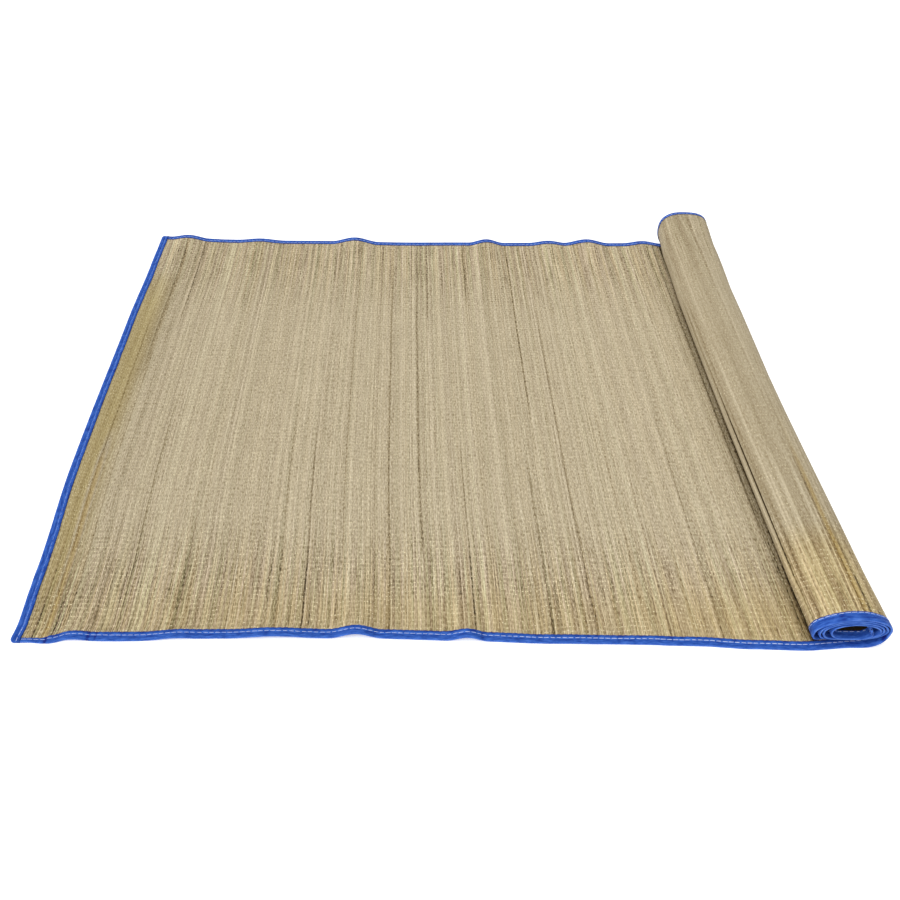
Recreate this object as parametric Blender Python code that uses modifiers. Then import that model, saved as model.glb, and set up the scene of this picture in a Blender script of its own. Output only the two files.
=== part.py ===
"""A straw beach mat with cloth-bound edges, lying open with one end still rolled up.

The straws run across the mat, from its front edge to its back edge, so it rolls along its length.
X runs along the mat from the open end to the roll, Y runs across it and Z points up, in metres.
Lengths along the mat are measured from the open end, and lengths across it from the front edge.
"""

import math
from collections import namedtuple

import bmesh
import bpy
from mathutils import Vector

NAME = "straw_beach_mat"

# The woven straw and the tape that is folded over its edges
STRAW_THICKNESS = 0.0015
TAPE_THICKNESS = 0.00035
TAPE_GAP = 0.0003
TAPE_LIP = 0.011
MAT_DEPTH = 0.9 - 2 * (TAPE_THICKNESS + TAPE_GAP)

# Heights of the straw's middle layer: resting on its own face, and raised by the tape beneath it
STRAW_LEVEL = STRAW_THICKNESS / 2
TAPE_FACE = STRAW_LEVEL + TAPE_GAP
BOUND_LEVEL = TAPE_FACE + TAPE_THICKNESS
END_STRIP = TAPE_LIP + 2 * TAPE_GAP
SIDE_TAPE_PULL = 0.25

# Rows of the mesh across the mat, as distances in from either edge
EDGE_ROWS = (0.0, END_STRIP, 0.030, 0.070, 0.160)
EDGE_RISE_REACH = 0.030

# Steps of the mesh along the open part, the pressed floor of each turn and each quarter of a turn
OPEN_STEPS = 46
FLOOR_STEPS = 2
QUARTER_STEPS = 6

# The outermost turn, by distance across the mat: how far left and right it reaches, its crown, and
# how square it is at its lower right, upper right, upper left and lower left, where 2 is an oval
Outline = namedtuple("Outline", "across left right crown foot right_shoulder left_shoulder heel")
ROLL_OUTLINE = (
    Outline(0.00, 0.9233, 1.0097, 0.0526, 3.0, 1.9, 1.8, 2.6),
    Outline(0.10, 0.9205, 1.0062, 0.0535, 2.5, 2.0, 1.9, 2.3),
    Outline(0.40, 0.9175, 1.0015, 0.0575, 2.0, 2.0, 2.0, 2.0),
    Outline(0.65, 0.9170, 1.0045, 0.0620, 2.0, 2.1, 2.0, 2.0),
    Outline(0.80, 0.9205, 1.0092, 0.0655, 2.0, 2.3, 2.1, 2.0),
    Outline(0.90, 0.9270, 1.0130, 0.0690, 2.0, 2.7, 2.5, 2.0),
)
CROWN_X = 0.966
FLOOR_END_X = 0.976
LANDING = 0.021
WAIST_SHARE = 0.56
LAST_WAIST_SHARE = 0.45
TIP_LEAN = math.radians(26)

# How much tighter each turn is than the outermost one, the height at which it lands, and how far
# its floor lies behind the mat's edge
Turn = namedtuple("Turn", "right_inset crown_drop left_inset floor setback")
FRONT_TURNS = (
    Turn(0.0000, 0.0000, 0.0000, 0.0047, 0.0085),
    Turn(0.0045, 0.0033, 0.0054, 0.0080, 0.0060),
    Turn(0.0087, 0.0066, 0.0092, 0.0113, 0.0030),
    Turn(0.0123, 0.0099, 0.0182, 0.0146, 0.0005),
    Turn(0.0197, 0.0132, 0.0234, 0.0180, 0.0005),
)
BACK_TURNS = (
    Turn(0.0000, 0.0000, 0.0000, 0.0047, 0.0),
    Turn(0.0060, 0.0055, 0.0070, 0.0080, 0.0),
    Turn(0.0125, 0.0115, 0.0140, 0.0113, 0.0),
    Turn(0.0185, 0.0175, 0.0215, 0.0146, 0.0),
    Turn(0.0275, 0.0190, 0.0230, 0.0180, 0.0),
)

# The outer turn has a stiff fold along its left flank, which fades towards the back edge
FLANK_FOLD_HEIGHT = 0.0016
FLANK_FOLD_QUARTER = 3.0
FLANK_FOLD_SPREAD = 0.45
FLANK_FOLD_ALONG = ((0.0, 1.0), (0.45, 1.0), (0.65, 0.0))

# The cut outline: how far each edge lies inside its straight line, by distance along it
LEFT_EDGE = (
    (0.0, -0.0028), (0.026, -0.0006), (0.10, -0.0012), (0.28, -0.0068), (0.62, -0.0044), (0.80, -0.0006),
    (0.90, 0.0),
)
FRONT_EDGE = (
    (0.0, -0.0048), (0.018, -0.0045), (0.038, -0.0057), (0.062, -0.0015), (0.11, -0.0015), (0.25, 0.0035),
    (0.40, 0.0055), (0.53, 0.0031), (0.63, 0.0003), (0.72, 0.0002), (0.79, -0.0010), (0.86, -0.0045),
    (0.915, -0.0058), (0.976, -0.0014),
)
BACK_EDGE = (
    (0.0, 0.0), (0.06, 0.0), (0.13, 0.004), (0.26, 0.005), (0.45, 0.006), (0.60, 0.003),
    (0.78, 0.0), (0.89, -0.003), (0.93, -0.002), (0.976, 0.0),
)

# Places where the bound edges stand up off the ground
Lift = namedtuple("Lift", "x half_width height")
FRONT_LIFTS = (
    Lift(0.070, 0.024, 0.0028),
    Lift(0.185, 0.040, 0.0030),
    Lift(0.300, 0.060, 0.0040),
    Lift(0.395, 0.032, 0.0080),
    Lift(0.525, 0.026, 0.0065),
)
BACK_LIFTS = (
    Lift(0.050, 0.038, 0.0065),
    Lift(0.185, 0.045, 0.0035),
    Lift(0.362, 0.045, 0.0085),
    Lift(0.608, 0.034, 0.0075),
    Lift(0.725, 0.036, 0.0045),
    Lift(0.797, 0.045, 0.0085),
    Lift(0.905, 0.038, 0.0050),
)
LIFT_REACH = 0.110
LEFT_CURL_HEIGHT = 0.0060
LEFT_CURL_REACH = 0.050
LEFT_CURL_ACROSS = ((0.0, 0.05), (0.10, 0.5), (0.45, 1.0), (0.80, 0.8), (0.90, 0.5))

STRAW_COLOUR = (0.49, 0.41, 0.25, 1)
TAPE_COLOUR = (0.035, 0.13, 0.56, 1)


def eased(rows, place):
    """The value at a place in a table of (place, value) rows, easing from each row to the next."""
    if place <= rows[0][0]:
        return rows[0][1]
    for (start, low), (end, high) in zip(rows, rows[1:]):
        if place <= end:
            share = (place - start) / (end - start)
            return low + (high - low) * (1 - math.cos(math.pi * share)) / 2
    return rows[-1][1]


def outline_at(across):
    """The outermost turn's measures at one distance across the mat."""
    places, *tables = zip(*ROLL_OUTLINE)
    columns = [eased(list(zip(places, values)), across) for values in tables]
    return Outline(across, *columns)


def turns_at(across):
    """The table of turns at one distance across the mat, between its front and back versions."""
    share = across / MAT_DEPTH
    return [
        Turn(*(low + (high - low) * share for low, high in zip(front, back)))
        for front, back in zip(FRONT_TURNS, BACK_TURNS)
    ]


def quarter(start, end, upright_first, steps, squareness=2.0):
    """Points of a quarter oval after its start, leaving it upright or level."""
    points = []
    for step in range(1, steps + 1):
        angle = math.pi / 2 * step / steps
        along = math.sin(angle) ** (2 / squareness)
        beside = 1 - max(0.0, math.cos(angle)) ** (2 / squareness)
        share_x, share_z = (beside, along) if upright_first else (along, beside)
        points.append((start[0] + (end[0] - start[0]) * share_x, start[1] + (end[1] - start[1]) * share_z))
    return points


def wound_line(across):
    """The straw's middle layer past the open part, as rows of (x, z, quarters wound, setback)."""
    outline = outline_at(across)
    waist = outline.crown * WAIST_SHARE
    rows = []
    here = (FLOOR_END_X, BOUND_LEVEL)
    wound = 0.0
    turns = turns_at(across)
    setback = 0.0

    def add(points, quarters, setback_end):
        nonlocal wound, setback
        for step, (x, z) in enumerate(points, 1):
            share = step / len(points)
            rows.append((x, z, wound + quarters * share, setback + (setback_end - setback) * share))
        wound += quarters
        setback = setback_end

    corners = outline[4:]
    for turn in turns[:-1]:
        right = (outline.right - turn.right_inset, waist)
        top = (CROWN_X, outline.crown - turn.crown_drop)
        left = (outline.left + turn.left_inset, waist)
        landing = (left[0] + LANDING, turn.floor)
        floor_end = (FLOOR_END_X, turn.floor)
        add(quarter(here, right, False, QUARTER_STEPS, corners[0]), 1, 0.0)
        add(quarter(right, top, True, QUARTER_STEPS, corners[1]), 1, 0.0)
        add(quarter(top, left, False, QUARTER_STEPS, corners[2]), 1, 0.0)
        add(quarter(left, landing, True, QUARTER_STEPS, corners[3]), 1, turn.setback)
        pressed = [
            (landing[0] + (floor_end[0] - landing[0]) * step / FLOOR_STEPS, turn.floor)
            for step in range(1, FLOOR_STEPS + 1)
        ]
        add(pressed, 0.001, turn.setback)
        here = floor_end
        corners = (2.0, 2.0, 2.0, 2.0)
    last = (outline.right - turns[-1].right_inset, outline.crown * LAST_WAIST_SHARE)
    add(quarter(here, last, False, QUARTER_STEPS), 1, 0.0)
    tip = (last[0] - END_STRIP * math.sin(TIP_LEAN), last[1] + END_STRIP * math.cos(TIP_LEAN))
    add([tip], 1, 0.0)
    return rows


def open_line(across):
    """The straw's middle layer in the open part, as rows like those of the wound part."""
    start = eased(LEFT_EDGE, across)
    first = start + END_STRIP
    rows = [(start, BOUND_LEVEL, 0.0, 0.0), (first, BOUND_LEVEL, 0.0, 0.0)]
    for step in range(1, OPEN_STEPS + 1):
        x = first + (FLOOR_END_X - first) * step / OPEN_STEPS
        rows.append((x, BOUND_LEVEL, 0.0, 0.0))
    return rows


def bell(distance, half_width):
    """A smooth hump, 1 at its middle and 0 past its half width."""
    if abs(distance) >= half_width:
        return 0.0
    return (1 + math.cos(math.pi * distance / half_width)) / 2


def fading(inwards, reach):
    """How much of an edge's height is left at a distance in from it: all of it under the tape."""
    return max(0.0, 1 - max(0.0, inwards - END_STRIP) / reach) ** 2


def lift_at(x, across):
    """How far the open part stands off the ground at one place."""
    height = 0.0
    for lifts, inwards in ((FRONT_LIFTS, across), (BACK_LIFTS, MAT_DEPTH - across)):
        raised = sum(lift.height * bell(x - lift.x, lift.half_width) for lift in lifts)
        height += fading(inwards, LIFT_REACH) * raised
    curl = fading(x - eased(LEFT_EDGE, across), LEFT_CURL_REACH)
    return height + LEFT_CURL_HEIGHT * curl * eased(LEFT_CURL_ACROSS, across)


def middle_row(across):
    """One row of points along the mat, in its middle layer, at one distance from the front edge."""
    lines = open_line(across) + wound_line(across)
    share = across / MAT_DEPTH
    # The tape's thickness holds up the strip beside each edge, and the straw settles past it
    inwards = min(across, MAT_DEPTH - across)
    settling = ((END_STRIP, 0.0), (EDGE_RISE_REACH, BOUND_LEVEL - STRAW_LEVEL))
    from_open_end = eased(LEFT_EDGE, across)
    flank_share = eased(FLANK_FOLD_ALONG, across)
    points = []
    for x, z, wound, setback in lines:
        front = eased(FRONT_EDGE, x) if wound == 0 else eased(((0, FRONT_EDGE[-1][1]), (1, 0.0)), wound)
        back = eased(BACK_EDGE, x) if wound == 0 else 0.0
        y = across + (front + setback) * (1 - share) - back * share
        height = z
        if z <= BOUND_LEVEL:
            height -= eased(settling, min(inwards, x - from_open_end))
        if wound == 0:
            height += lift_at(x, across)
        fold = FLANK_FOLD_HEIGHT * flank_share * bell(wound - FLANK_FOLD_QUARTER, FLANK_FOLD_SPREAD)
        points.append(Vector((x - fold, y, height)))
    return points


def across_rows():
    """The mesh rows' distances from the front edge."""
    return [*EDGE_ROWS, MAT_DEPTH / 2, *(MAT_DEPTH - row for row in reversed(EDGE_ROWS))]


def mesh_object(name, rows, colour, roughness, thickness, offset, smooth_angle, caps=False):
    """An object from rows of points of equal length, made solid by a thickness."""
    mesh = bpy.data.meshes.new(name)
    bm = bmesh.new()
    verts = [[bm.verts.new(point) for point in row] for row in rows]
    for lower, upper in zip(verts, verts[1:]):
        for a, b, c, d in zip(lower, lower[1:], upper[1:], upper):
            bm.faces.new((a, b, c, d))
    if caps:
        bm.faces.new([row[0] for row in verts])
        bm.faces.new([row[-1] for row in reversed(verts)])
    bm.to_mesh(mesh)
    bm.free()
    mesh.shade_smooth()
    mesh.set_sharp_from_angle(angle=math.radians(smooth_angle))
    obj = bpy.data.objects.new(name, mesh)
    solid = obj.modifiers.new("thickness", "SOLIDIFY")
    solid.thickness = thickness
    solid.offset = offset
    solid.use_even_offset = True
    material = bpy.data.materials.new(name)
    material.use_nodes = True
    surface = material.node_tree.nodes["Principled BSDF"]
    surface.inputs["Base Color"].default_value = colour
    surface.inputs["Roughness"].default_value = roughness
    surface.inputs["Metallic"].default_value = 0.0
    mesh.materials.append(material)
    return obj


def unit_normals(edge, inner):
    """The upward normal at each point of a strip, from its edge row and the row further in."""
    normals = []
    for number, point in enumerate(edge):
        before = edge[max(0, number - 1)]
        after = edge[min(len(edge) - 1, number + 1)]
        normals.append((after - before).cross(inner[number] - point).normalized())
    return normals


def folded_tape(name, edge, inner, caps=False):
    """Tape folded over an edge, from the straw's edge row and the row at the strip's far side."""
    normals = unit_normals(edge, inner)
    profile = []
    for point, further, normal in zip(edge, inner, normals):
        inwards = (further - point).normalized()
        outside = point - inwards * TAPE_GAP
        inside = point + inwards * TAPE_LIP
        face = normal * TAPE_FACE
        profile.append((inside - face, outside - face, outside + face, inside + face))
    if caps:
        before_first = (edge[0] - edge[1]).normalized() * TAPE_GAP
        after_last = (edge[-1] - edge[-2]).normalized() * TAPE_GAP
        profile[0] = [point + before_first for point in profile[0]]
        profile[-1] = [point + after_last for point in profile[-1]]
    columns = list(zip(*profile))
    return mesh_object(name, columns, TAPE_COLOUR, 0.6, TAPE_THICKNESS, 1.0, 40, caps)


def between_ends(row):
    """The stretch of a long row that the side tapes cover, clear of the tape on either end."""
    return [*row[1:-2], row[-2].lerp(row[-3], SIDE_TAPE_PULL)]


def build_mat():
    """The straw and its four bindings."""
    rows = [middle_row(across) for across in across_rows()]
    straw = mesh_object("straw_mat", list(reversed(rows)), STRAW_COLOUR, 0.75, STRAW_THICKNESS, 0.0, 40)
    front = folded_tape("front_binding", between_ends(rows[0]), between_ends(rows[1]))
    back = folded_tape("back_binding", between_ends(rows[-1]), between_ends(rows[-2]))
    starts = [row[0] for row in rows]
    first_strip = [row[1] for row in rows]
    ends = [row[-1] for row in rows]
    last_strip = [row[-2] for row in rows]
    open_end = folded_tape("open_end_binding", starts, first_strip, caps=True)
    rolled_end = folded_tape("rolled_end_binding", ends, last_strip, caps=True)
    return [straw, front, back, open_end, rolled_end]


def stand_on_origin(objects, base):
    """Moves the base so that the whole mat is centred over the origin and rests at height 0."""
    bpy.context.view_layer.update()
    seen = bpy.context.evaluated_depsgraph_get()
    corners = [
        Vector(corner) for obj in objects for corner in obj.evaluated_get(seen).bound_box
    ]
    low = [min(corner[axis] for corner in corners) for axis in range(3)]
    high = [max(corner[axis] for corner in corners) for axis in range(3)]
    base.location = (-(low[0] + high[0]) / 2, -(low[1] + high[1]) / 2, -low[2])


for old in list(bpy.data.objects):
    bpy.data.objects.remove(old)

collection = bpy.data.collections.new(NAME)
bpy.context.scene.collection.children.link(collection)
base = bpy.data.objects.new(NAME + "_base", None)
collection.objects.link(base)
pieces = build_mat()
for piece in pieces:
    collection.objects.link(piece)
    piece.parent = base
stand_on_origin(pieces, base)
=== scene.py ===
"""The looks of a straw beach mat, lying open with one end still rolled up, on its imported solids."""
import math
from collections import namedtuple

import bmesh
import bpy
import numpy as np
from mathutils import Matrix, Vector, noise


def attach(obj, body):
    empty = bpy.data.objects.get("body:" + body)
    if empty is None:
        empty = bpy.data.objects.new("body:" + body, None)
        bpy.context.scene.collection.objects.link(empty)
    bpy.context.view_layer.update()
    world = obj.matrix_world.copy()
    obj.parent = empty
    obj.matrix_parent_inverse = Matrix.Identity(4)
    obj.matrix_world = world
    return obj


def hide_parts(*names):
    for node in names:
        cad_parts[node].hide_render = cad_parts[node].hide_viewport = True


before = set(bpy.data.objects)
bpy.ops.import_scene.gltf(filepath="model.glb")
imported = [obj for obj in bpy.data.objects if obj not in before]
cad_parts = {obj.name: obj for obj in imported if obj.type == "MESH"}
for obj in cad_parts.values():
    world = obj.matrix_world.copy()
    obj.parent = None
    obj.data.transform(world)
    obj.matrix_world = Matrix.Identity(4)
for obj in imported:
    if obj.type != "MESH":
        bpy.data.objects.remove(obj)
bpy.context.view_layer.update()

# The woven sheet: dried rush straws laid side by side across the mat and held by rows of fine
# cotton thread, each passing over one straw and under the next. It rests on the ground from its
# open end, and its other end is wound into a loose roll that its own weight has pressed flat.
LIES_AT = (-0.504081, -0.447952, 0.0)
STRAW_THICKNESS = 0.0015
WIDTH = 0.8987
STRIP = 0.0116
BOUND_LEVEL = 0.0014
STRAW_LEVEL = STRAW_THICKNESS / 2
SETTLING = ((STRIP, 0.0), (0.030, BOUND_LEVEL - STRAW_LEVEL))

# The outermost turn, by distance across the mat, and how square each of its corners is
Outline = namedtuple("Outline", "across left right crown foot right_shoulder left_shoulder heel")
ROLL_OUTLINE = (
    Outline(0.00, 0.9233, 1.0097, 0.0526, 3.0, 1.9, 1.8, 2.6),
    Outline(0.10, 0.9205, 1.0062, 0.0535, 2.5, 2.0, 1.9, 2.3),
    Outline(0.40, 0.9175, 1.0015, 0.0575, 2.0, 2.0, 2.0, 2.0),
    Outline(0.65, 0.9170, 1.0045, 0.0620, 2.0, 2.1, 2.0, 2.0),
    Outline(0.80, 0.9205, 1.0092, 0.0655, 2.0, 2.3, 2.1, 2.0),
    Outline(0.90, 0.9270, 1.0130, 0.0690, 2.0, 2.7, 2.5, 2.0),
)
CROWN_X = 0.966
FLOOR_END_X = 0.976
LANDING = 0.021
WAIST_SHARE = 0.56
LAST_WAIST_SHARE = 0.45
ROUND = 2.0
TIP_LEAN = math.radians(26)
QUARTER_STEPS = 30
FLOOR_STEPS = 12
TIP_STEPS = 7
# A turn's pressed floor counts as next to nothing beside its four quarters
FLOOR_QUARTERS = 0.001

# How much tighter each turn is than the outermost one, where it lands, and how far its floor is
# set back from the front edge
Turn = namedtuple("Turn", "right_inset crown_drop left_inset floor setback")
FRONT_TURNS = (
    Turn(0.0000, 0.0000, 0.0000, 0.0047, 0.0085),
    Turn(0.0045, 0.0033, 0.0054, 0.0080, 0.0060),
    Turn(0.0087, 0.0066, 0.0092, 0.0113, 0.0030),
    Turn(0.0123, 0.0099, 0.0182, 0.0146, 0.0005),
    Turn(0.0197, 0.0132, 0.0234, 0.0180, 0.0005),
)
BACK_TURNS = (
    Turn(0.0000, 0.0000, 0.0000, 0.0047, 0.0),
    Turn(0.0060, 0.0055, 0.0070, 0.0080, 0.0),
    Turn(0.0125, 0.0115, 0.0140, 0.0113, 0.0),
    Turn(0.0185, 0.0175, 0.0215, 0.0146, 0.0),
    Turn(0.0275, 0.0190, 0.0230, 0.0180, 0.0),
)
FLANK_FOLD_HEIGHT = 0.0016
FLANK_FOLD_QUARTER = 3.0
FLANK_FOLD_SPREAD = 0.45
FLANK_FOLD_ALONG = ((0.0, 1.0), (0.45, 1.0), (0.65, 0.0))

# How far each cut edge lies inside its straight line, by distance along it
LEFT_EDGE = (
    (0.0, -0.0028), (0.026, -0.0006), (0.10, -0.0012), (0.28, -0.0068), (0.62, -0.0044), (0.80, -0.0006),
    (0.90, 0.0),
)
FRONT_EDGE = (
    (0.0, -0.0048), (0.018, -0.0045), (0.038, -0.0057), (0.062, -0.0015), (0.11, -0.0015), (0.25, 0.0035),
    (0.40, 0.0055), (0.53, 0.0031), (0.63, 0.0003), (0.72, 0.0002), (0.79, -0.0010), (0.86, -0.0045),
    (0.915, -0.0058), (0.976, -0.0014),
)
BACK_EDGE = (
    (0.0, 0.0), (0.06, 0.0), (0.13, 0.004), (0.26, 0.005), (0.45, 0.006), (0.60, 0.003),
    (0.78, 0.0), (0.89, -0.003), (0.93, -0.002), (0.976, 0.0),
)

# Places where the bound edges stand up off the ground
Lift = namedtuple("Lift", "x half_width height")
FRONT_LIFTS = (
    Lift(0.070, 0.024, 0.0028),
    Lift(0.185, 0.040, 0.0030),
    Lift(0.300, 0.060, 0.0040),
    Lift(0.395, 0.032, 0.0080),
    Lift(0.525, 0.026, 0.0065),
)
BACK_LIFTS = (
    Lift(0.050, 0.038, 0.0065),
    Lift(0.185, 0.045, 0.0035),
    Lift(0.362, 0.045, 0.0085),
    Lift(0.608, 0.034, 0.0075),
    Lift(0.725, 0.036, 0.0045),
    Lift(0.797, 0.045, 0.0085),
    Lift(0.905, 0.038, 0.0050),
)
LIFT_REACH = 0.110
LEFT_CURL_HEIGHT = 0.0060
LEFT_CURL_REACH = 0.050
LEFT_CURL_ACROSS = ((0.0, 0.05), (0.10, 0.5), (0.45, 1.0), (0.80, 0.8), (0.90, 0.5))
OPEN_STEPS = 460
SWELL_HEIGHT = 0.0009
SWELL_MIDDLE = 0.45
SWELL_REACH = 0.46
# The two waves of the swell, by radians a metre along and across the mat
SHORT_WAVE_ALONG = 31
SHORT_WAVE_ACROSS = 9
SHORT_WAVE_SWING = 4
LONG_WAVE_ALONG = 17
LONG_WAVE_ACROSS = -14
LONG_WAVE_START = 2


def eased(rows, places):
    """Values at places in a table of (place, value) rows, easing from each row to the next."""
    starts, values = np.array(rows, float).T
    after = np.clip(np.searchsorted(starts, places, side="right"), 1, len(starts) - 1)
    share = np.clip((places - starts[after - 1]) / (starts[after] - starts[after - 1]), 0, 1)
    return values[after - 1] + (values[after] - values[after - 1]) * (1 - np.cos(np.pi * share)) / 2


def bell(distances, half_width):
    """Smooth humps, 1 at distance 0 and 0 past the half width."""
    return np.where(np.abs(distances) < half_width, (1 + np.cos(np.pi * distances / half_width)) / 2, 0.0)


def fading(inwards, reach):
    """How much of an edge's height is left at distances in from it: all of it under the tape."""
    return np.maximum(0.0, 1 - np.maximum(0.0, inwards - STRIP) / reach) ** 2


def quarter(start, end, upright_first, squareness=ROUND):
    """Points of a quarter oval after its start, leaving it upright or level."""
    angle = np.linspace(0, math.pi / 2, QUARTER_STEPS + 1)[1:]
    along = np.sin(angle) ** (2 / squareness)
    beside = 1 - np.maximum(0.0, np.cos(angle)) ** (2 / squareness)
    shares = (beside, along) if upright_first else (along, beside)
    return np.column_stack([start[i] + (end[i] - start[i]) * shares[i] for i in (0, 1)])


def wound_path(across):
    """The roll's winding at one distance across, as columns x, z, quarters wound and setback."""
    places, *tables = zip(*ROLL_OUTLINE)
    outline = Outline(across, *(float(eased(list(zip(places, values)), across)) for values in tables))
    share = across / WIDTH
    turns = [
        Turn(*(low + (high - low) * share for low, high in zip(front, back)))
        for front, back in zip(FRONT_TURNS, BACK_TURNS)
    ]
    waist = outline.crown * WAIST_SHARE
    stretches = []
    here = (FLOOR_END_X, BOUND_LEVEL)
    corners = (outline.foot, outline.right_shoulder, outline.left_shoulder, outline.heel)
    wound, setback = 0.0, 0.0
    for turn in turns[:-1]:
        right = (outline.right - turn.right_inset, waist)
        top = (CROWN_X, outline.crown - turn.crown_drop)
        left = (outline.left + turn.left_inset, waist)
        landing = (left[0] + LANDING, turn.floor)
        floor_end = (FLOOR_END_X, turn.floor)
        pressed_x = np.linspace(landing[0], floor_end[0], FLOOR_STEPS)[1:]
        pressed = np.column_stack([pressed_x, np.full(len(pressed_x), turn.floor)])
        for points, quarters, setback_end in (
            (quarter(here, right, False, corners[0]), 1, 0.0),
            (quarter(right, top, True, corners[1]), 1, 0.0),
            (quarter(top, left, False, corners[2]), 1, 0.0),
            (quarter(left, landing, True, corners[3]), 1, turn.setback),
            (pressed, FLOOR_QUARTERS, turn.setback),
        ):
            steps = np.linspace(0, 1, len(points) + 1)[1:]
            setbacks = setback + (setback_end - setback) * steps
            stretches.append(np.column_stack([points, wound + quarters * steps, setbacks]))
            wound += quarters
            setback = setback_end
        here = floor_end
        corners = (ROUND, ROUND, ROUND, ROUND)
    last = (outline.right - turns[-1].right_inset, outline.crown * LAST_WAIST_SHARE)
    points = quarter(here, last, False)
    steps = np.linspace(0, 1, len(points) + 1)[1:]
    stretches.append(np.column_stack([points, wound + steps, setback * (1 - steps)]))
    tip_steps = np.linspace(0, 1, TIP_STEPS)[1:, None]
    tip = np.array([[-STRIP * math.sin(TIP_LEAN), STRIP * math.cos(TIP_LEAN)]])
    tip_points = points[-1] + tip * tip_steps
    stretches.append(np.column_stack([tip_points, wound + 1 + tip_steps, np.zeros(len(tip_steps))]))
    return np.vstack(stretches)


def swell(x, across):
    """A slow unevenness of the open sheet, from 0 to 1."""
    short_wave = np.sin(SHORT_WAVE_ALONG * x + SHORT_WAVE_SWING * math.sin(SHORT_WAVE_ACROSS * across))
    long_wave = np.sin(LONG_WAVE_ALONG * x + LONG_WAVE_ACROSS * across + LONG_WAVE_START)
    return 0.5 + (short_wave + long_wave) / 4


def path_at(across):
    """The straw's middle layer along the mat, at one distance across it: places, and quarters wound."""
    start = float(eased(LEFT_EDGE, across))
    flat_x = np.concatenate([[start], np.linspace(start + STRIP, FLOOR_END_X, OPEN_STEPS)])
    wound = wound_path(across)
    flat = np.zeros(len(flat_x))
    x = np.concatenate([flat_x, wound[:, 0]])
    z = np.concatenate([flat + BOUND_LEVEL, wound[:, 1]])
    turned = np.concatenate([flat, wound[:, 2]])
    setback = np.concatenate([flat, wound[:, 3]])
    share = across / WIDTH
    straightening = ((0, FRONT_EDGE[-1][1]), (1, 0.0))
    front = np.where(turned == 0, eased(FRONT_EDGE, x), eased(straightening, turned))
    back = np.where(turned == 0, eased(BACK_EDGE, x), 0.0)
    y = across + (front + setback) * (1 - share) - back * share
    inwards = min(across, WIDTH - across)
    z = z - np.where(z <= BOUND_LEVEL, eased(SETTLING, np.minimum(inwards, x - start)), 0.0)
    raised = SWELL_HEIGHT * swell(x, across) * bell(x - SWELL_MIDDLE, SWELL_REACH) ** 0.5
    for lifts, from_side in ((FRONT_LIFTS, across), (BACK_LIFTS, WIDTH - across)):
        for lift in lifts:
            raised += lift.height * bell(x - lift.x, lift.half_width) * fading(from_side, LIFT_REACH)
    curl = LEFT_CURL_HEIGHT * fading(x - start, LEFT_CURL_REACH)
    raised += curl * float(eased(LEFT_CURL_ACROSS, across))
    z = z + np.where(turned == 0, raised, 0.0)
    fold = FLANK_FOLD_HEIGHT * float(eased(FLANK_FOLD_ALONG, across))
    x = x - fold * bell(turned - FLANK_FOLD_QUARTER, FLANK_FOLD_SPREAD)
    return np.column_stack([x, y, z]) + LIES_AT, turned


# Straws lie straight across, open and wound alike, so a straw keeps its place in every path
middle_path, middle_wound = path_at(WIDTH / 2)
middle_run = np.concatenate([[0.0], np.cumsum(np.linalg.norm(np.diff(middle_path, axis=0), axis=1))])
LENGTH = float(middle_run[-1])
PATH_PLACES = np.arange(len(middle_run))


def lay(along, rows):
    """Points and upward normals of the middle layer, at distances along and across the mat."""
    places = np.interp(along, middle_run, PATH_PLACES)
    points = np.empty((len(rows), len(along), 3))
    for number, across in enumerate(rows):
        path, _ = path_at(min(max(across, 0.0), WIDTH))
        for axis in range(3):
            points[number, :, axis] = np.interp(places, PATH_PLACES, path[:, axis])
    normals = np.cross(np.gradient(points, axis=1), np.gradient(points, axis=0))
    return points, normals / np.linalg.norm(normals, axis=2, keepdims=True)


# Each straw is a flattened stalk of its own width, thinner along its sides
rng = np.random.default_rng(seed=11)
STRAW_WIDTH_RANGE = (0.0012, 0.0026)
STRAW_COUNT = round(LENGTH / (sum(STRAW_WIDTH_RANGE) / 2))
straw_edges = np.concatenate([[0.0], np.cumsum(rng.uniform(*STRAW_WIDTH_RANGE, STRAW_COUNT))])
straw_edges *= LENGTH / straw_edges[-1]
straw_columns = np.empty(2 * STRAW_COUNT + 1)
straw_columns[0::2] = straw_edges
straw_columns[1::2] = (straw_edges[1:] + straw_edges[:-1]) / 2
SIDE_ROWS = (0.0, STRIP, 0.021, 0.034, 0.055, 0.080, 0.110, 0.150, 0.215, 0.290, 0.370)
straw_rows = np.array([*SIDE_ROWS, WIDTH / 2, *(WIDTH - row for row in reversed(SIDE_ROWS))])
RIDGE_FULLNESS = (0.78, 1.0)
VALLEY_FULLNESS = (0.30, 0.55)
FULLNESS_LEVELS = 24
STRAW_UNEVENNESS = 0.00012
CORNER_RADIUS = 0.0045


def sheet_mesh(name, points, along, over):
    """A grid with its vertices moved to an array of points, and a UV map of two coordinate lists."""
    rows, columns = points.shape[:2]
    bm = bmesh.new()
    bmesh.ops.create_grid(bm, x_segments=columns - 1, y_segments=rows - 1, size=1)
    mesh = bpy.data.meshes.new(name)
    bm.to_mesh(mesh)
    bm.free()
    flat = np.empty(len(mesh.vertices) * 3)
    mesh.vertices.foreach_get("co", flat)
    column = np.rint((flat[0::3] + 1) / 2 * (columns - 1)).astype(int)
    row = np.rint((flat[1::3] + 1) / 2 * (rows - 1)).astype(int)
    mesh.vertices.foreach_set("co", points[row, column].ravel())
    corners = np.empty(len(mesh.loops), int)
    mesh.loops.foreach_get("vertex_index", corners)
    uv_map = mesh.uv_layers.new(name="woven")
    uv_map.data.foreach_set("uv", np.column_stack([along[column[corners]], over[row[corners]]]).ravel())
    return mesh, row, column


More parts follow.
